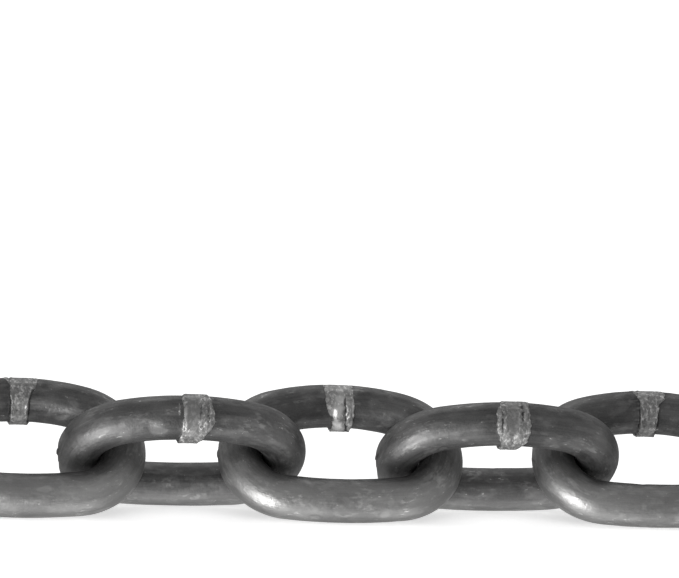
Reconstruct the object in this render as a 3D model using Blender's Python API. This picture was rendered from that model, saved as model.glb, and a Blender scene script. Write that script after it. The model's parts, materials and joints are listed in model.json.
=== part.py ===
"""A one-foot cut of welded steel chain, laid out straight on a level floor.

Each link is one round bar bent into an oval and butt-welded near the middle of
one long side, where the weld leaves a low collar, thicker towards the eye. The
links lean 45 degrees to one side and to the other in turn, because each one
threads its neighbours at a right angle. The chain runs along X, rests on Z = 0
and has its middle link over the origin. Every link but the first hangs in the
link before it, and its origin is in the middle of the bar that it swings on.
Lengths are in metres.
"""

import math

import bmesh
import bpy
from mathutils import Matrix, Vector

# The chain
LINK_COUNT = 9
LEAN = math.radians(45.0)
CROWN_GAP = 0.0004

# The link's bar and the eye that it encloses
BAR_DIAMETER = 0.0095
INSIDE_LENGTH = 0.0354
INSIDE_WIDTH = 0.0157

# The bar's centreline: each long side is a shallow arc and each quarter of an
# end is a tight one. The welded side bows out further than the back.
WELD_SIDE_OUT = 0.0135
WELD_SIDE_BEND = 0.0120
BACK_SIDE_BEND = 0.0111

# The weld's collar, which sits a little off the middle of its side
COLLAR_OFFSET = 0.0014
COLLAR_LENGTH = 0.0058
COLLAR_HEIGHT = 0.00044
COLLAR_TOWARDS_EYE = 0.0003
COLLAR_RAMP = 0.0004

# How finely the round shapes are cut
BAR_SIDES = 16
BEND_STEPS = 6
BACK_STEPS = 3

STEEL_COLOUR = (0.115, 0.115, 0.118, 1.0)
STEEL_ROUGHNESS = 0.45

# What follows from those
BACK_SIDE_OUT = INSIDE_WIDTH + BAR_DIAMETER - WELD_SIDE_OUT
END_REACH = (INSIDE_LENGTH + BAR_DIAMETER) / 2
PITCH = INSIDE_LENGTH - CROWN_GAP
# The corners of a many-sided bar with the same section as the round one
CORNER_RADIUS = BAR_DIAMETER / 2 * math.sqrt(
    2 * math.pi / BAR_SIDES / math.sin(2 * math.pi / BAR_SIDES)
)


def clear_scene():
    for thing in list(bpy.data.objects):
        bpy.data.objects.remove(thing)


def side_arc(side_out, bend):
    """A long side's radius, and the angle round the bend where it takes over."""
    bend_centre = END_REACH - bend
    radius = (bend_centre**2 + side_out**2 - bend**2) / (2 * (side_out - bend))
    return radius, math.atan2(radius - side_out, bend_centre)


def on_bend(angle, bend):
    """Centreline point of the right-hand end, and the heading of the bar there."""
    x = END_REACH - bend + bend * math.cos(angle)
    return Vector((x, 0.0, bend * math.sin(angle))), angle - math.pi / 2


def on_side(x, side_out, radius):
    """Centreline point of an upper long side, and the heading of the bar there."""
    tilt = math.asin(x / radius)
    height = side_out - radius * (1.0 - math.cos(tilt))
    return Vector((x, 0.0, height)), -tilt


def collar_stations():
    """The collar's feet and edges, from left to right."""
    radius, _ = side_arc(WELD_SIDE_OUT, WELD_SIDE_BEND)
    edge = COLLAR_LENGTH / 2
    foot = edge + COLLAR_RAMP
    stations = []
    for distance, raised in ((-foot, 0), (-edge, 1), (edge, 1), (foot, 0)):
        point, heading = on_side(COLLAR_OFFSET + distance, WELD_SIDE_OUT, radius)
        point.z -= raised * COLLAR_TOWARDS_EYE
        stations.append((point, heading, raised * COLLAR_HEIGHT))
    return stations


def back_station(radius, end_angle):
    """The one station of the back's right half that isn't on the bend."""
    side_end = radius * math.cos(end_angle)
    point, heading = on_side(side_end / BACK_STEPS, BACK_SIDE_OUT, radius)
    point.z = -point.z
    return point, -heading - math.pi, 0.0


def end_stations():
    """From the welded side round the right-hand end to the middle of the back."""
    _, weld_end = side_arc(WELD_SIDE_OUT, WELD_SIDE_BEND)
    back_radius, back_end = side_arc(BACK_SIDE_OUT, BACK_SIDE_BEND)
    stations = []
    for step in range(BEND_STEPS + 1):
        angle = weld_end * (1.0 - step / BEND_STEPS)
        stations.append((*on_bend(angle, WELD_SIDE_BEND), 0.0))
    for step in range(1, BEND_STEPS + 1):
        angle = -back_end * step / BEND_STEPS
        stations.append((*on_bend(angle, BACK_SIDE_BEND), 0.0))
    stations.append(back_station(back_radius, back_end))
    return stations


def link_stations():
    """The link once round. Each station is a point, a heading and a growth."""
    right_end = end_stations()
    left_end = [
        (Vector((-point.x, 0.0, point.z)), -heading, growth)
        for point, heading, growth in reversed(right_end)
    ]
    return collar_stations() + right_end + left_end


def add_ring(mesh, point, heading, growth):
    """One section of the bar, square to its centreline, with a flat side facing out."""
    forward = Vector((math.cos(heading), 0.0, math.sin(heading)))
    across = Vector((0.0, 1.0, 0.0))
    facing = Matrix((forward.cross(across), across, forward)).transposed().to_4x4()
    half_side = Matrix.Rotation(math.pi / BAR_SIDES, 4, "Z")
    ring = bmesh.ops.create_circle(
        mesh,
        segments=BAR_SIDES,
        radius=CORNER_RADIUS + growth,
        matrix=Matrix.Translation(point) @ facing @ half_side,
    )
    return {edge for vertex in ring["verts"] for edge in vertex.link_edges}


def build_link_mesh():
    """A link in the XZ plane, with its middle at the origin and its weld at the top."""
    mesh = bmesh.new()
    rings = [add_ring(mesh, *station) for station in link_stations()]
    for ring, following in zip(rings, rings[1:] + rings[:1]):
        bmesh.ops.bridge_loops(mesh, edges=list(ring | following))
    bmesh.ops.recalc_face_normals(mesh, faces=mesh.faces)
    data = bpy.data.meshes.new("link")
    mesh.to_mesh(data)
    mesh.free()
    data.shade_smooth()
    data.set_sharp_from_angle(angle=math.radians(40.0))
    return data


def steel_material():
    steel = bpy.data.materials.new("self_coloured_steel")
    steel.use_nodes = True
    shader = steel.node_tree.nodes["Principled BSDF"]
    shader.inputs["Base Color"].default_value = STEEL_COLOUR
    shader.inputs["Metallic"].default_value = 1.0
    shader.inputs["Roughness"].default_value = STEEL_ROUGHNESS
    return steel


def height_when_leaning(data):
    """How far above the floor the link's middle is when the link leans on its back."""
    lean = Matrix.Rotation(LEAN, 3, "X")
    return -min((lean @ vertex.co).z for vertex in data.vertices)


def add_link(data, number, pivot_x, height):
    """One link, turned to its own lean. Its mesh is already round its origin."""
    link = bpy.data.objects.new(f"link_{number}", data)
    bpy.context.collection.objects.link(link)
    link.location = (pivot_x, 0.0, height)
    link.rotation_euler.x = -LEAN if number % 2 else LEAN


def add_chain():
    """The links in a row. The odd ones lean back at the top and the even ones forward."""
    first = build_link_mesh()
    first.materials.append(steel_material())
    height = height_when_leaning(first)
    hanging = first.copy()
    swing_bar = END_REACH - PITCH
    hanging.transform(Matrix.Translation((-swing_bar, 0.0, 0.0)))
    first_x = -(LINK_COUNT - 1) / 2 * PITCH
    add_link(first, 1, first_x, height)
    for number in range(2, LINK_COUNT + 1):
        middle_x = first_x + (number - 1) * PITCH
        add_link(hanging, number, middle_x + swing_bar, height)


clear_scene()
add_chain()
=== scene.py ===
# %% [markdown]
# # A foot of welded steel chain
#
# Nine links of bare, self-coloured steel chain lie in a straight run on a pale floor. Each link is
# one round bar, bent into an oval and butt-welded near the middle of one long side. The plain
# solids of the links, their sizes and the hinges between them come from the measured frame. This
# lesson gives every link the skin of the real thing: the dark scale of the hot mill, the lines that
# the drawing die left along the bar, small dents and rubbed spots, the rough ring of flash round
# the weld, and the small flat that the forming die presses on one end.

# %% Load the measured frame
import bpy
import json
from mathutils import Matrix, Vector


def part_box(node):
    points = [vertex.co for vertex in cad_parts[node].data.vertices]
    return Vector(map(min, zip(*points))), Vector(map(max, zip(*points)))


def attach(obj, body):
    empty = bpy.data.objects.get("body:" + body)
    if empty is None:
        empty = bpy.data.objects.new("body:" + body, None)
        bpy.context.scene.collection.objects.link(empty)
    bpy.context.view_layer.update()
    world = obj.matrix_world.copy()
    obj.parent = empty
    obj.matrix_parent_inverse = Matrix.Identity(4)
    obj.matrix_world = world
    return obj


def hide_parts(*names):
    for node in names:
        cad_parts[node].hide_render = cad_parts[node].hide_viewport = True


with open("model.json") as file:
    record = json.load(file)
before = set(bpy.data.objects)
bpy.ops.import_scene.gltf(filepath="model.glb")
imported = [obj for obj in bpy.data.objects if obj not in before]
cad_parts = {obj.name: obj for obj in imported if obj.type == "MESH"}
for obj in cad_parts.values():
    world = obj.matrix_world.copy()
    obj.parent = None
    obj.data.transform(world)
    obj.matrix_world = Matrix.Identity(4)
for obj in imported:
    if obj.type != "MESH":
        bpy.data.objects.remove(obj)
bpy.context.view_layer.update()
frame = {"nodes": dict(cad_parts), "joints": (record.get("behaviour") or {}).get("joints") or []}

# %% [markdown]
# ## Sizes
#
# A link is easiest to describe by the line through the middle of its bar. A chain maker's oval is
# drawn with arcs: a tight one for each quarter of an end and a very shallow one for each long side.
# The side that carries the weld bows out a little further than the other, which the trade calls the
# back. The lengths below are the real link's, in metres. What the frame already knows, such as the
# pitch and the height of the chain's axis, is read from it instead of being typed again.

# %% Sizes of a link
import json
import math

import bmesh
import bpy
from mathutils import Matrix, Vector, noise

MM = 0.001
BAR_RADIUS = 4.75 * MM
INSIDE_LENGTH = 35.4 * MM
INSIDE_WIDTH = 15.7 * MM
WELD_SIDE_OUT = 13.5 * MM
WELD_SIDE_BEND = 12.0 * MM
BACK_SIDE_BEND = 11.1 * MM
BACK_SIDE_OUT = INSIDE_WIDTH + 2 * BAR_RADIUS - WELD_SIDE_OUT
END_REACH = INSIDE_LENGTH / 2 + BAR_RADIUS
LEAN = math.radians(45)

LINKS = len(frame["nodes"])
hinges = {joint["child"]: joint for joint in frame["joints"]}
PITCH = hinges["link_3"]["pos_m"][0] - hinges["link_2"]["pos_m"][0]
AXIS_HEIGHT = hinges["link_2"]["pos_m"][2]
MIDDLE = Vector((0, 0, AXIS_HEIGHT))


def link_centre(number):
    """Where the middle of a link is, from the place of its solid."""
    low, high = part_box(f"link_{number}")
    return Vector(((low.x + high.x) / 2, 0, AXIS_HEIGHT))


def link_lean(number):
    """The odd links lean back at the top and the even ones lean forward."""
    return -LEAN if number % 2 else LEAN


print(f"{LINKS} links, pitch {PITCH / MM:.2f} mm, axis {AXIS_HEIGHT / MM:.2f} mm above the floor")

# %% [markdown]
# ## Camera
#
# The photograph was taken with a long lens from nearly a metre away, a little above the floor and a
# little to the left, with the camera tipped by almost three degrees, so that the chain runs
# slightly downhill. The chain lies low in the picture. Shifting the lens would put it there too,
# but a shift follows the camera into every other view, so the camera is aimed a little above the
# chain instead.

# %% Camera
PHOTO_SIZE = (679, 578)
CHAIN_AT = (340.1, 456.5)
FOCAL_PIXELS = 4117
CAMERA_DISTANCE = 0.900
CAMERA_AZIMUTH = math.radians(-9.95)
CAMERA_ELEVATION = math.radians(9.94)
CAMERA_ROLL = math.radians(2.79)
NEAREST_SEEN = 0.05
FURTHEST_SEEN = 50.0


def camera_turn(away):
    """Faces the chain, tips the camera and then aims it above the chain."""
    aimed = (-away).to_track_quat("-Z", "Y").to_matrix().to_4x4()
    rolled = aimed @ Matrix.Rotation(CAMERA_ROLL, 4, "Z")
    pitch_up = math.atan((CHAIN_AT[1] - PHOTO_SIZE[1] / 2) / FOCAL_PIXELS)
    yaw_left = math.atan((CHAIN_AT[0] - PHOTO_SIZE[0] / 2) / FOCAL_PIXELS)
    return rolled @ Matrix.Rotation(pitch_up, 4, "X") @ Matrix.Rotation(yaw_left, 4, "Y")


def add_camera():
    """A camera at the photograph's viewing angle, with the lens that gives its perspective."""
    away = Vector((
        math.sin(CAMERA_AZIMUTH) * math.cos(CAMERA_ELEVATION),
        -math.cos(CAMERA_AZIMUTH) * math.cos(CAMERA_ELEVATION),
        math.sin(CAMERA_ELEVATION),
    ))
    camera = bpy.data.objects.new("camera", bpy.data.cameras.new("camera"))
    camera.data.lens = FOCAL_PIXELS * camera.data.sensor_width / PHOTO_SIZE[0]
    camera.data.clip_start = NEAREST_SEEN
    camera.data.clip_end = FURTHEST_SEEN
    place = Matrix.Translation(MIDDLE + away * CAMERA_DISTANCE)
    camera.matrix_world = place @ camera_turn(away)
    bpy.context.scene.collection.objects.link(camera)
    bpy.context.scene.camera = camera
    return camera


camera = add_camera()
print(f"lens {camera.data.lens:.0f} mm, {CAMERA_DISTANCE} m from the middle link")

# %% [markdown]
# ## The bent bar
#
# The link could be a curve with a round bevel, but a curve gives no say in where its rings fall,
# and the weld wants many more of them than the rest. A spin suits it better, because the middle
# line is made of arcs: one ring of points stands at the weld and is spun round the centre of each
# arc in turn until it comes back to where it began, and the two rings that meet there are merged.
# While the ring travels, every point notes where it would be on the straight bar before bending:
# how far along, and where round the section. The marks of the drawing die follow the bar through
# its bends, so the finish needs that note later.

# %% The arcs of the middle line
STEP = 0.42 * MM
WELD_STEP = 0.2 * MM
WELD_REACH = 6.4 * MM


def side_radius(out, bend):
    """Radius of the shallow arc that runs into two tight ones."""
    bend_centre = END_REACH - bend
    return (bend_centre ** 2 + out ** 2 - bend ** 2) / (2 * (out - bend))


def link_arcs():
    """(x and z of the centre, radius, angle, step) of each arc, clockwise from the weld."""
    weld_side = side_radius(WELD_SIDE_OUT, WELD_SIDE_BEND)
    back_side = side_radius(BACK_SIDE_OUT, BACK_SIDE_BEND)
    weld_bend_x = END_REACH - WELD_SIDE_BEND
    back_bend_x = END_REACH - BACK_SIDE_BEND
    weld_tilt = math.asin(weld_bend_x / (weld_side - WELD_SIDE_BEND))
    back_tilt = math.asin(back_bend_x / (back_side - BACK_SIDE_BEND))
    near_weld = WELD_REACH / weld_side
    quarter = math.pi / 2
    top = (0, WELD_SIDE_OUT - weld_side, weld_side)
    right = [
        (*top, near_weld, WELD_STEP),
        (*top, weld_tilt - near_weld, STEP),
        (weld_bend_x, 0, WELD_SIDE_BEND, quarter - weld_tilt, STEP),
        (back_bend_x, 0, BACK_SIDE_BEND, quarter - back_tilt, STEP),
        (0, back_side - BACK_SIDE_OUT, back_side, back_tilt, STEP),
    ]
    left = [(-x, z, radius, angle, step) for x, z, radius, angle, step in reversed(right)]
    return right + left


arcs = link_arcs()
BAR_LENGTH = sum(radius * angle for _, _, radius, angle, _ in arcs)
print(f"{len(arcs)} arcs, {BAR_LENGTH / MM:.1f} mm of bar in a link")

# %% Spin the bar round the arcs
RING_POINTS = 112
FEWEST_STEPS = 2
SAME_PLACE = STEP / 100


def note_places(points, layer, centre, radius, turned, travelled):
    """Writes where each point lies on the straight bar: along it, across it and outwards."""
    for point in points:
        x, z = point.co.x - centre.x, point.co.z - centre.z
        heading = (math.atan2(x, z) - turned + math.pi) % (2 * math.pi) - math.pi
        point[layer] = (travelled + radius * heading, point.co.y, math.hypot(x, z) - radius)


def add_first_ring(mesh, straight):
    """The section of the bar at the weld, with its notes."""
    facing_x = Matrix.Rotation(math.pi / 2, 4, "Y")
    bmesh.ops.create_circle(
        mesh,
        segments=RING_POINTS,
        radius=BAR_RADIUS,
        matrix=Matrix.Translation((0, 0, WELD_SIDE_OUT)) @ facing_x,
    )
    for point in mesh.verts:
        point[straight] = (0, point.co.y, point.co.z - WELD_SIDE_OUT)


def bend_bar():
    """One link, weld up, with its middle at the origin and its axis along X."""
    mesh = bmesh.new()
    straight = mesh.verts.layers.float_vector.new("bar")
    add_first_ring(mesh, straight)
    last = [*mesh.verts, *mesh.edges]
    turned = travelled = 0
    for x, z, radius, angle, step in arcs:
        made_before = len(mesh.verts)
        centre = Vector((x, 0, z))
        steps = max(FEWEST_STEPS, round(radius * angle / step))
        last = bmesh.ops.spin(
            mesh, geom=last, cent=centre, axis=(0, 1, 0), angle=angle, steps=steps
        )["geom_last"]
        mesh.verts.ensure_lookup_table()
        note_places(mesh.verts[made_before:], straight, centre, radius, turned, travelled)
        turned += angle
        travelled += radius * angle
    bmesh.ops.remove_doubles(mesh, verts=mesh.verts, dist=SAME_PLACE)
    bmesh.ops.recalc_face_normals(mesh, faces=mesh.faces)
    return mesh


plain_link = bend_bar()
print(f"plain link: {len(plain_link.verts)} points, {len(plain_link.faces)} faces")

# %% [markdown]
# ## Marks of forging and handling
#
# The skin of a real link is never quite round. The rolls and the die leave slow waves along the
# bar, the hot scale stands in low patches, and links that knock together dent one another. Most of
# it is under a tenth of a millimetre, but it is what breaks up a highlight. It is done here by
# moving points in and out, as with a sculpting brush, because bump in a material can't change an
# outline. The noise is read on the straight bar, so that it is drawn out along the bar and follows
# the bends.

# %% Small helpers for the relief
# A seed shifts the noise this many times further across the bar than along it.
SHIFT_ACROSS = 7.3


def ease(low, high, value):
    """0 below low, 1 above high and a smooth step between. Low may be the larger of the two."""
    share = min(1.0, max(0.0, (value - low) / (high - low)))
    return share * share * (3 - 2 * share)


def hump(distance, half_width):
    """1 in the middle of a ridge, 0 at half_width and beyond."""
    return ease(half_width, 0, abs(distance))


def noise_at(place, along, across, shift):
    """Noise from -1 to 1 with lumps that long along the bar and that wide across it, in mm."""
    x = place.x / along + shift
    y = place.y / across + SHIFT_ACROSS * shift
    return noise.noise(Vector((x, y, place.z / across)))


print("half way up a ridge:", hump(0.5, 1))

# %% Waves, scale and dents
WAVES = 0.055
PATCHES = 0.018
GRAIN = 0.010
DIE_LINES = 0.009
DENTS = 0.13
BEARING_GROWTH = 0.13
BEARING_REACH = (math.radians(50), math.radians(15))


def skin_relief(place, seed):
    """How far the skin stands out of the round bar, away from the weld, in mm."""
    waves = WAVES * noise_at(place, 13, 5.0, seed)
    patches = PATCHES * ease(-0.1, 0.25, noise_at(place, 3.4, 1.9, seed + 3))
    grain = GRAIN * noise_at(place, 1.1, 0.62, seed + 5)
    die_lines = DIE_LINES * noise_at(place, 16, 0.7, seed + 8)
    dents = DENTS * ease(0.44, 0.75, noise_at(place, 4.6, 3.2, seed + 11))
    return waves + patches + grain + die_lines - dents


def bearing_growth(place, heading):
    """The ends are a little thicker inside, where a link bears on its neighbour, in mm."""
    inside = ease(0.2, -0.9, place.z * MM / BAR_RADIUS)
    from_crown = abs(abs(heading - math.pi) - math.pi / 2)
    return BEARING_GROWTH * inside * ease(*BEARING_REACH, from_crown)


print(f"deepest dent {DENTS} mm")

# %% [markdown]
# ## The weld
#
# The two ends of the bar are heated by the current and pressed together, which squeezes out a ring
# of flash. A cutter then shears the ring off, cleanly on the outside of the link and less so inside
# the eye, where it can't reach. What is left is a ragged band, a little proud of the bar, with a
# smooth scraped stripe, beads and cracks that run round it, and a lip that hangs into the eye. No
# two welds are alike, so three descriptions take turns and the noise differs from link to link. A
# description is easiest to draw on a map of the bar's skin: across it the distance from the middle
# of the link in millimetres, down it the angle round the bar in degrees, from 0 on the outside of
# the link over 90 on the side that faces the viewer to 180 in the eye.

# %% Three ways for a weld to come out
# An outline is (angle, left edge, right edge, height). A bead is (its line as (angle, distance),
# half its width, height, how smooth and how bare of scale it is). A crack is a bead with a height
# below zero.
WELDS = (
    {
        "outline": (
            (-90, -2.4, 3.2, 0.15), (-20, -2.6, 3.2, 0.0), (35, -2.7, 3.2, -0.05),
            (80, -2.9, 3.3, 0.03), (110, -3.0, 3.5, 0.05), (140, -2.6, 3.8, 0.10),
            (156, -1.3, 3.8, 0.22), (180, -1.2, 3.8, 0.48), (210, -1.2, 3.5, 0.88),
            (230, -1.2, 3.5, 0.88), (270, -2.4, 3.2, 0.15),
        ),
        "bare": 0.55,
        "beads": (
            (((126, 0.1), (160, 0.15), (196, 0.4)), 1.55, 0.45, 1.0, 1.8),
            (((196, 0.5), (235, 0.5)), 1.6, 0.0, 0.8, 0.9),
            (((104, 1.45), (118, 1.35), (135, 1.85), (150, 1.75), (180, 2.2), (220, 2.7)),
             0.28, -0.36, 0.0, 0.0),
            (((122, 2.85), (150, 3.0), (166, 2.9)), 0.40, 0.06, 0.4, 0.15),
            (((171, 2.35), (177, 2.35)), 0.36, 0.55, 1.0, 1.3),
            (((76, 0.6), (90, 0.5)), 0.8, 0.14, 0.5, 1.0),
            (((98, 0.3), (118, 0.5)), 1.4, 0.12, 0.3, 1.6),
            (((-80, 0.5), (20, 0.6)), 1.6, 0.0, 1.0, 0.3),
        ),
    },
    {
        "outline": (
            (-90, -1.2, 3.9, 0.35), (-55, -1.0, 3.8, 0.36), (-20, -1.6, 3.9, 0.24),
            (10, -1.5, 4.4, 0.12), (35, -1.5, 4.7, 0.10), (60, -1.7, 4.4, 0.10),
            (80, -1.9, 3.6, 0.25), (95, -2.1, 3.0, 0.5), (110, -2.4, 2.3, 0.72),
            (125, -2.5, 2.0, 0.75), (180, -2.4, 2.0, 0.8), (235, -2.2, 2.8, 0.6),
            (270, -1.2, 3.9, 0.35),
        ),
        "bare": 0.12,
        "beads": (
            (((6, -1.05), (40, -1.0), (75, -0.8)), 0.38, 0.12, 1.0, 0.7),
            (((17, -1.05), (22, -1.05)), 0.42, 0.30, 1.0, 1.0),
            (((-8, -2.35), (32, -2.3)), 0.3, 0.08, 0.0, 0.3),
            (((-30, 2.6), (15, 1.9), (50, 1.6)), 0.3, -0.07, 0.0, 0.0),
            (((-20, 3.3), (60, 3.6)), 0.3, -0.12, 0.0, 0.0),
            (((-60, 0.5), (20, 0.4), (66, 0.5)), 1.3, 0.0, 1.0, 0.1),
            (((68, 0.5), (90, 0.9)), 1.3, 0.14, 0.3, 0.2),
            (((140, 0.2), (235, 0.2)), 1.2, 0.0, 0.7, 0.2),
        ),
    },
    {
        "outline": (
            (-90, -1.9, 3.9, 0.25), (-55, -1.5, 3.9, 0.22), (-20, -2.2, 3.6, 0.15),
            (0, -3.0, 3.4, 0.08), (40, -3.2, 3.8, 0.06), (66, -2.7, 3.8, 0.12),
            (90, -2.2, 3.5, 0.45), (108, -2.2, 2.3, 0.8), (125, -2.2, 2.05, 0.85),
            (180, -2.2, 2.0, 0.85), (235, -2.2, 2.8, 0.6), (270, -1.9, 3.9, 0.25),
        ),
        "bare": 0.12,
        "beads": (
            (((-8, -2.4), (50, -2.6)), 0.4, 0.08, 0.4, 0.2),
            (((-12, -1.9), (30, -2.0), (64, -1.9)), 0.26, -0.15, 0.0, 0.0),
            (((22, -1.5), (66, -1.3)), 0.3, 0.10, 0.7, 0.4),
            (((60, -1.2), (86, -0.9)), 0.9, 0.14, 0.2, 0.4),
            (((-30, 2.3), (26, 2.1)), 0.28, -0.24, 0.0, 0.0),
            (((-14, 2.85), (28, 2.8)), 0.3, 0.14, 0.6, 0.4),
            (((-60, 0.3), (20, 0.2), (62, 0.3)), 1.4, -0.03, 1.0, 0.1),
            (((60, 1.7), (84, 1.5)), 1.0, 0.14, 0.2, 0.3),
            (((140, 0.0), (235, 0.0)), 1.4, 0.0, 0.7, 0.2),
        ),
    },
)


# Link 5 is in the middle of the photograph and has the first kind, and the links on its left and
# right have the second and the third. The order repeats after four links.
WELD_ORDER = (1, 0, 2, 2)


def weld_kind(number):
    """The description that a link's weld takes."""
    return WELDS[WELD_ORDER[number % len(WELD_ORDER)]]


print(len(WELDS), "kinds of weld, of which link 5 has number", WELDS.index(weld_kind(5)) + 1)

# %% Beads, cracks and crust
BEAD_END = 7
FOLD_DEPTH = 0.09
LUMP_HEIGHT = 0.04


def at_angle(rows, angle):
    """What a table says at an angle, between the rows before and after it."""
    for before, after in zip(rows, rows[1:]):
        if angle <= after[0]:
            break
    share = min(1.0, max(0.0, (angle - before[0]) / (after[0] - before[0])))
    return [low + share * (high - low) for low, high in zip(before[1:], after[1:])]


def folded_crust(spot, seed):
    """Flash that folded over itself: small lumps with narrow crevices between them, in mm."""
    folds = ease(0, 0.22, abs(noise_at(spot, 0.8, 1.3, seed))) - 0.7
    return FOLD_DEPTH * folds + LUMP_HEIGHT * noise_at(spot, 0.5, 0.7, seed + 2)


def bead_share(path, half_width, angle, distance):
    """1 along the middle of a bead, 0 beside it and beyond its ends, with a round back."""
    ends = ease(path[0][0] - BEAD_END, path[0][0] + BEAD_END, angle)
    ends *= ease(path[-1][0] + BEAD_END, path[-1][0] - BEAD_END, angle)
    if not ends:
        return 0.0
    middle = at_angle(path, angle)[0]
    return ends * max(0.0, 1 - ((distance - middle) / half_width) ** 2)


print(f"a bead fades out over {2 * BEAD_END} degrees")

# %% The weld's relief
EDGE_BLUR = 0.14
# A lump this long fills the whole weld, so such noise changes only round the bar.
ROUND_ONLY = 90


def ring_share(spot, left, right, seed):
    """1 on the ring of flash and 0 beside it, with a ragged edge."""
    ragged = 0.30 * noise_at(spot, ROUND_ONLY, 1.3, seed + 20)
    ragged += 0.16 * noise_at(spot, ROUND_ONLY, 0.55, seed + 24)
    share = ease(left - EDGE_BLUR, left + EDGE_BLUR, spot.x - ragged)
    return share * ease(right + EDGE_BLUR, right - EDGE_BLUR, spot.x + ragged)


def bead_relief(spot, kind, angle, seed):
    """What the beads and cracks add in mm, and how smooth and how bare of scale they are."""
    wander = 0.12 * noise_at(spot, ROUND_ONLY, 0.8, seed + 28)
    wander += 0.12 * noise_at(spot, 1.0, 0.35, seed + 29)
    broken = ease(-0.25, 0.15, noise_at(spot, ROUND_ONLY, 1.1, seed + 33))
    beads = smooth = 0.0
    bare = kind["bare"]
    for path, half_width, bead_height, bead_smooth, bead_bare in kind["beads"]:
        bead = bead_share(path, half_width, angle, spot.x - wander)
        if bead_height < 0:
            bead *= 0.35 + 0.65 * broken
        beads += bead_height * bead
        smooth = max(smooth, bead_smooth * min(1, 2.5 * bead))
        bare += (bead_bare - bare) * min(1, 1.5 * bead)
    return beads, smooth, bare


def weld_relief(spot, kind, seed):
    """The ring's height and its crust's in mm, and how welded, smooth and bare the skin is."""
    angle = (math.degrees(math.atan2(-spot.y, spot.z)) + 90) % 360 - 90
    left, right, height = at_angle(kind["outline"], angle)
    share = ring_share(spot, left, right, seed)
    beads, smooth, bare = bead_relief(spot, kind, angle, seed)
    rough = folded_crust(spot, seed + 31) * (1 - 0.9 * smooth) * share
    welded = max(share, min(1, 8 * abs(beads)))
    return height * share, beads + rough, welded, smooth, bare


print(f"the ring's edge is {2 * EDGE_BLUR} mm wide")

# %% [markdown]
# ## The die's mark on the crown
#
# The die that closes a link presses a small flat on the outside of one crown and leaves a thin oval
# rim in it, round a low plain nub. The flat is what cuts the outline of every left-hand end a
# little short, and the nub stands out of it. All three could be pieces of their own, but they are
# at most half a millimetre high and grow out of the bar, so they are sculpted with its skin.

# %% The flat, the rim and the nub
ARCS_TO_LEFT_CROWN = 7
MARK_AT = sum(radius * angle for _, _, radius, angle, _ in arcs[:ARCS_TO_LEFT_CROWN]) / MM
FLAT_DEPTH = 0.5
FLAT_HALF_LENGTH = 7.5
FULL_DEPTH_HALF_LENGTH = 1.5
MARK_HALF_LENGTH = 2.6
MARK_HALF_WIDTH = 1.5
# Shares of the way from the middle of the mark to its edge
RIM_AT = 0.82
RIM_HALF_WIDTH = 0.2
NUB_FOOT = 0.45
NUB_TOP = 0.2
RIM_HEIGHT = 0.12
NUB_HEIGHT = 0.45


def crown_mark(place):
    """The height of the mark in mm. It is negative on the flat."""
    if place.z <= 0:
        return 0.0
    along = place.x - MARK_AT
    angle = math.atan2(place.y, place.z)
    radius = BAR_RADIUS / MM
    depth = FLAT_DEPTH * ease(FLAT_HALF_LENGTH, FULL_DEPTH_HALF_LENGTH, abs(along))
    flat = min(0.0, (radius - depth) / max(0.5, math.cos(angle)) - radius)
    reach = math.hypot(along / MARK_HALF_LENGTH, angle * radius / MARK_HALF_WIDTH)
    rim = RIM_HEIGHT * hump(reach - RIM_AT, RIM_HALF_WIDTH)
    return flat + rim + NUB_HEIGHT * ease(NUB_FOOT, NUB_TOP, reach)


print(f"mark {MARK_AT:.1f} mm along the bar")

# %% [markdown]
# ## Dressing the nine links
#
# Each link gets a copy of the plain bent bar and its own seed, so that no two are alike. Every
# point moves along its normal by the sum of the reliefs. Notes stay on the mesh for the finish,
# which can't know where it is on the link: the place on the straight bar in millimetres, the height
# of the fine relief, the share of weld, how smooth and how bare of scale the weld is, and three
# that follow from the link's making and use, one of them with painted shade in it. The bar is
# scorched for a few millimetres beside the weld. The back, which the welding heat never reached,
# keeps a lighter, cooler scale on its outer face; on its faces inside the eye it stays dark, which
# is painted shade. And the outer faces of the bends, on which a link slides over the ground, are
# rubbed, most of all towards the back.

# %% How scorched, cool, shaded in the eye and rubbed the skin is
NOTES = ("relief", "weld", "smooth", "bare", "scorched", "cool_scale_and_eye_shade", "rubbed")
WELD_MIDDLE = 0.6
SCORCHED_WITHIN = (8, 3.5)
COOL_BEYOND = (20, 46)
# (middle, half width, strength) of the rubbed places on the two sides
RUBBED_PLACES = ((44, 15, 1.0), (21, 10, 0.6))


def wear(from_weld, outward):
    """The last three notes, by the distance from the weld in mm. Outward is -1 in the eye."""
    scorched = ease(*SCORCHED_WITHIN, abs(from_weld - WELD_MIDDLE))
    # Painted shade: inside the eye the back keeps the dark scale, as if in the other bar's shadow.
    cool_scale_and_eye_shade = ease(*COOL_BEYOND, abs(from_weld)) * ease(-0.9, 0.2, outward)
    rubbed = sum(
        strength * hump(abs(from_weld) - middle, half_width)
        for middle, half_width, strength in RUBBED_PLACES
    )
    return scorched, cool_scale_and_eye_shade, rubbed * ease(-0.3, 0.5, outward)


print("beside the weld, on the outside:", wear(4, 1))

# %% Sculpt one link
SEED_STEP = 17.0
BARS_BETWEEN_LINKS = 1.7


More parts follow.
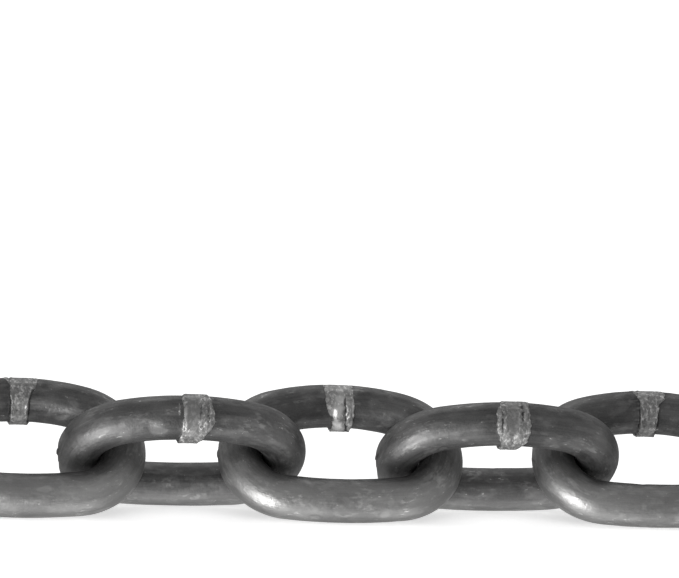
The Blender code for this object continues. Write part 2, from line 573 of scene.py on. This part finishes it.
def sculpt(mesh, number):
    """Moves every point of a bent bar by its relief and writes the notes for the finish."""
    kind = weld_kind(number)
    seed = SEED_STEP * number
    straight = mesh.verts.layers.float_vector["bar"]
    layers = [mesh.verts.layers.float.new(name) for name in NOTES]
    mesh.normal_update()
    length = BAR_LENGTH / MM
    own_stretch = Vector((BARS_BETWEEN_LINKS * length * number, 0, 0))
    moves = []
    for point in mesh.verts:
        place = point[straight] / MM
        heading = math.atan2(point.co.x, point.co.z) % (2 * math.pi)
        from_weld = place.x if place.x < length / 2 else place.x - length
        ring = crust = welded = smooth = bare = 0.0
        if abs(from_weld) < WELD_REACH / MM:
            spot = Vector((from_weld, place.y, place.z))
            ring, crust, welded, smooth, bare = weld_relief(spot, kind, seed)
        mark = crown_mark(place)
        # The weld and the die's mark wipe out the bar's own marks.
        skin = skin_relief(place, seed) * (1 - ease(0.5, 1, welded)) * (1 - ease(0, 0.05, mark))
        height = skin + ring + crust + mark + bearing_growth(place, heading)
        moves.append(height * MM * point.normal)
        point[straight] = place + own_stretch
        fine = skin + crust + max(0.0, mark)
        notes = (fine, welded, smooth, bare, *wear(from_weld, place.z * MM / BAR_RADIUS))
        for layer, note in zip(layers, notes):
            point[layer] = note
    for point, move in zip(mesh.verts, moves):
        point.co += move


print("seeds:", [SEED_STEP * number for number in range(1, LINKS + 1)])

# %% Lay out the chain
def lay_link(number):
    """The finished link in its place in the chain, as an object at the origin."""
    mesh = plain_link.copy()
    sculpt(mesh, number)
    lean = Matrix.Rotation(link_lean(number), 4, "X")
    mesh.transform(Matrix.Translation(link_centre(number)) @ lean)
    data = bpy.data.meshes.new(f"forged_link_{number}")
    mesh.to_mesh(data)
    mesh.free()
    data.shade_smooth()
    link = bpy.data.objects.new(f"forged_link_{number}", data)
    bpy.context.scene.collection.objects.link(link)
    return link


forged_links = {number: lay_link(number) for number in range(1, LINKS + 1)}
for number, link in forged_links.items():
    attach(link, f"link_{number}")
    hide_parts(f"link_{number}")
faces = sum(len(link.data.polygons) for link in forged_links.values())
print(2 * faces, "triangles in the chain")

# %% [markdown]
# ## The finish
#
# Self-coloured chain isn't plated or painted. It has the thin, dark grey scale that hot steel
# grows, a little oily, with streaks along the bar from the drawing die, lighter smudges where it
# has rubbed and small bright flecks where the scale has chipped. The weld is lighter and rough,
# and its crevices are painted darker as shade. All of that is one material. It reads the notes on
# the mesh, so that the streaks follow the bends and the painted shade in the weld's crevices is
# darkest where they are deep. Grain and torn metal have no direction and must not jump where the
# bar's two ends meet, so they are read on the piece's own coordinates instead. Shader maths is
# easier to read as sums than as nodes, so a small class wraps a socket and lets Python's own
# operators add the Math nodes.

# %% Sockets that can be used in sums
class Wire:
    """A socket of a finish that can be used in sums."""

    def __init__(self, finish, socket):
        self.finish = finish
        self.socket = socket

    def maths(self, operation, first, second):
        return self.finish.add("Math", {"operation": operation}, {0: first, 1: second})

    def __add__(self, other):
        return self.maths("ADD", self, other)

    def __sub__(self, other):
        return self.maths("SUBTRACT", self, other)

    def __mul__(self, other):
        return self.maths("MULTIPLY", self, other)

    def __rsub__(self, other):
        return self.maths("SUBTRACT", other, self)

    __radd__ = __add__
    __rmul__ = __mul__


print(Wire.__doc__)

# %% A short way to add nodes
class Finish:
    """The nodes of a material or of the room, its shader and a short way to add more."""

    def __init__(self, owner, shader="Principled BSDF"):
        owner.use_nodes = True
        self.tree = owner.node_tree
        self.shader = self.tree.nodes[shader]

    def join(self, value, socket):
        if isinstance(value, Wire):
            self.tree.links.new(value.socket, socket)
        else:
            socket.default_value = value

    def shade(self, values):
        for name, value in values.items():
            self.join(value, self.shader.inputs[name])

    def add(self, kind, settings, values, output=0):
        """Adds a node, sets it up, joins its inputs and returns one of its outputs."""
        node = self.tree.nodes.new("ShaderNode" + kind)
        for name, value in settings.items():
            setattr(node, name, value)
        for name, value in values.items():
            self.join(value, node.inputs[name])
        return Wire(self, node.outputs[output])

    def note(self, name, output):
        return self.add("Attribute", {"attribute_name": name}, {}, output)

    def step(self, value, low, high):
        values = {"Value": value, "From Min": low, "From Max": high}
        return self.add("MapRange", {"interpolation_type": "SMOOTHSTEP"}, values)

    def blend(self, share, first, second):
        return self.add("Mix", {"data_type": "RGBA"}, {0: share, 6: first, 7: second}, 2)

    def speckle(self, place, along, across, detail, shift):
        """Noise from 0 to 1 with lumps that long along the bar and that wide across it, in mm."""
        values = {0: place, 1: (1 / along, 1 / across, 1 / across), 2: (shift,) * 3}
        stretched = self.add("VectorMath", {"operation": "MULTIPLY_ADD"}, values)
        return self.add("TexNoise", {}, {"Vector": stretched, "Scale": 1.0, "Detail": detail})


print(Finish.__doc__)

# %% Read the notes
steel_material = bpy.data.materials.new("self_coloured_steel")
steel = Finish(steel_material)
on_bar = steel.note("bar", "Vector")
own_place = steel.add("TexCoord", {}, {}, "Object")
in_mm = steel.add("VectorMath", {"operation": "SCALE"}, {0: own_place, "Scale": 1 / MM})
relief, weld, smooth, bare, scorched, cool_scale_and_eye_shade, rubbed = (steel.note(name, "Fac") for name in NOTES)
print("the finish reads:", "bar,", ", ".join(NOTES))

# %% Patterns of the scale
smudges = steel.step(steel.speckle(on_bar, 9, 4.5, 3, 0), 0.42, 0.68)
blotches = steel.step(steel.speckle(on_bar, 3.2, 1.8, 4, 5), 0.50, 0.66)
streaks = steel.speckle(on_bar, 26, 0.8, 3, 9)
fine_streaks = steel.speckle(on_bar, 5, 0.2, 2, 14)
grain = steel.speckle(in_mm, 0.30, 0.30, 3, 21)
flecks = steel.step(steel.speckle(on_bar, 0.9, 0.5, 2, 27), 0.66, 0.74)
rub_area = steel.step(steel.speckle(on_bar, 8, 4, 2, 45), 0.58, 0.68)
rubs = rub_area * steel.step(steel.speckle(on_bar, 1.3, 0.7, 3, 51), 0.46, 0.62)
polish = steel.step(steel.speckle(on_bar, 3.0, 1.6, 3, 71), 0.48, 0.66)
glints = steel.step(steel.speckle(on_bar, 1.5, 0.55, 3, 83), 0.54, 0.66) * polish * rubbed
print(len(steel.tree.nodes), "nodes so far")

# %% Brightness of the scale
worn = steel.step(relief, 0.02, 0.07)
proud = steel.step(relief, 0.09, 0.13)
dented = steel.step(relief, -0.05, -0.12)
# The cool note lightens the back's scale and carries painted shade on its faces inside the eye.
scale = 0.113 + 0.14 * cool_scale_and_eye_shade + 0.085 * rubbed - 0.03 * scorched
scale += 0.05 * smudges + 0.045 * blotches + 0.085 * (streaks - 0.5)
scale += 0.07 * (fine_streaks - 0.5) + 0.08 * (grain - 0.5) + 0.11 * rubs
scale += 0.10 * worn * blotches + 0.08 * dented + 0.18 * proud
scale += 0.35 * flecks * blotches + 0.30 * glints
print(len(steel.tree.nodes), "nodes so far")

# %% Brightness of the torn metal
mottle = steel.speckle(in_mm, 0.8, 1.0, 4, 33)
torn_mask = steel.step(weld + 0.4 * (mottle - 0.5), 0.40, 0.60)
# Painted shade: the low spots of the weld are darkened, more the deeper they sink.
painted_crevice_shade = steel.step(relief, 0.0, -0.15) * steel.step(weld, 0.6, 0.9)
curls = steel.speckle(in_mm, 0.9, 1.5, 3, 61) - 0.5
shards = steel.step(curls * curls, 0.003, 0.0003) * steel.step(mottle, 0.46, 0.58)
chips = steel.step(steel.speckle(in_mm, 0.5, 0.9, 3, 73), 0.55, 0.63)
scratches = steel.speckle(in_mm, 0.11, 2.4, 2, 67) - 0.5
torn = 0.205 + 0.24 * bare + 0.10 * steel.step(mottle, 0.45, 0.62) + 0.16 * (grain - 0.5)
torn += (0.30 * shards + 0.12 * chips) * (1 - smooth) + (0.02 + 0.16 * scratches) * smooth
# The painted shade in the weld's crevices darkens the torn metal here.
torn = torn * (1 - 0.72 * painted_crevice_shade)
print(len(steel.tree.nodes), "nodes so far")

# %% Roughness and the finest relief
roughness = 0.54 - 0.06 * cool_scale_and_eye_shade - 0.06 * rubbed - 0.10 * polish - 0.08 * flecks - 0.12 * glints
roughness += 0.12 * (grain - 0.5) + 0.20 * (fine_streaks - 0.5)
roughness -= 0.08 * smooth + 0.04 * smooth * bare
pebble = steel.speckle(in_mm, 0.9, 0.9, 2, 41)
heights = (0.032 * grain + 0.06 * pebble) * (1 - smooth)
heights += (0.022 * fine_streaks + 0.014 * blotches) * (1 - torn_mask)
heights += torn_mask * (0.09 * mottle * (1 - smooth) + 0.008 * scratches * smooth)
print(len(steel.tree.nodes), "nodes so far")

# %% Join them on the shader
SOOT = (0.01, 0.01, 0.011, 1)
CLEAN_STEEL = (0.90, 0.895, 0.885, 1)
brightness = scale * (1 - torn_mask) + torn * torn_mask
bump_values = {"Strength": 1.0, "Distance": MM, "Height": heights}
steel.shade({
    "Base Color": steel.blend(brightness, SOOT, CLEAN_STEEL),
    "Metallic": 0.92,
    "Roughness": roughness,
    "Normal": steel.add("Bump", {}, bump_values),
})
for link in forged_links.values():
    link.data.materials.append(steel_material)
print(len(steel.tree.nodes), "nodes in the finish")

# %% [markdown]
# ## Floor and light
#
# The photograph shows the chain on a white ground with hardly any shadow. The metal tells the rest:
# it is dark where it mirrors the room above and in front, and each left-hand bend has its highlight
# low down. Worked out with the law of reflection, that light comes from below the horizon on the
# left, as on a light table. So the floor is pale and plain but lets light and reflections pass, and
# two soft lamps shine up through it: a smaller one on the left for the highlights and a wide weak
# one for the undersides. A wide soft lamp overhead lights the floor and leaves the faint shadow,
# but stays out of the reflections, and a last one lifts the rear edges. The room is a mid grey in
# the reflections and nearly white where the camera looks past the floor.

# %% Floor
FLOOR_HALF_WIDTH = 6.0


def add_floor():
    """A flat sheet of white paper, far wider than the chain."""
    mesh = bmesh.new()
    bmesh.ops.create_grid(mesh, x_segments=1, y_segments=1, size=FLOOR_HALF_WIDTH)
    data = bpy.data.meshes.new("pale_floor")
    mesh.to_mesh(data)
    mesh.free()
    floor = bpy.data.objects.new("pale_floor", data)
    bpy.context.scene.collection.objects.link(floor)
    paper_material = bpy.data.materials.new("white_paper")
    Finish(paper_material).shade({
        "Base Color": (0.92, 0.92, 0.92, 1),
        "Emission Color": (1, 1, 1, 1),
        "Emission Strength": 0.55,
        "Roughness": 0.9,
        "Specular IOR Level": 0.0,
    })
    data.materials.append(paper_material)
    floor.visible_shadow = False
    floor.visible_glossy = False
    return floor


floor = add_floor()
print("floor:", floor.name, f"{2 * FLOOR_HALF_WIDTH:.0f} m wide")

# %% Lamps
def add_lamp(name, kind, place, strength, **settings):
    """A lamp that looks at the chain and isn't seen by the camera."""
    light = bpy.data.lights.new(name, kind)
    light.energy = strength
    for setting, value in settings.items():
        setattr(light, setting, value)
    lamp = bpy.data.objects.new(name, light)
    looks = (MIDDLE - Vector(place)).to_track_quat("-Z", "Y")
    lamp.matrix_world = Matrix.Translation(place) @ looks.to_matrix().to_4x4()
    lamp.visible_camera = False
    bpy.context.scene.collection.objects.link(lamp)
    return lamp


overhead = add_lamp("overhead_lamp", "SUN", (-0.2, -0.6, 2.0), 0.8, angle=math.radians(80))
overhead.visible_glossy = False
low_left = add_lamp(
    "low_left_lamp", "AREA", (-0.46, -0.55, -0.30), 5.2, shape="ELLIPSE", size=0.40, size_y=0.60
)
under_lamp = add_lamp(
    "under_lamp", "AREA", (0.0, -0.25, -0.55), 1.1, shape="RECTANGLE", size=0.9, size_y=0.5
)
back_lamp = add_lamp(
    "back_lamp", "AREA", (0.1, 0.75, 0.95), 1.8, shape="RECTANGLE", size=1.2, size_y=0.5
)
print("lamps:", ", ".join(lamp.name for lamp in (overhead, low_left, under_lamp, back_lamp)))

# %% The room
ROOM_ON_THE_METAL = (0.42, 0.42, 0.42, 1)
ROOM_FOR_THE_CAMERA = (0.97, 0.97, 0.97, 1)
world = bpy.data.worlds.new("room")
bpy.context.scene.world = world
room = Finish(world, "Background")
to_camera = room.add("LightPath", {}, {}, "Is Camera Ray")
room.shade({"Color": room.blend(to_camera, ROOM_ON_THE_METAL, ROOM_FOR_THE_CAMERA)})
bpy.context.scene.view_settings.view_transform = "Standard"
print("room:", len(room.tree.nodes), "nodes")
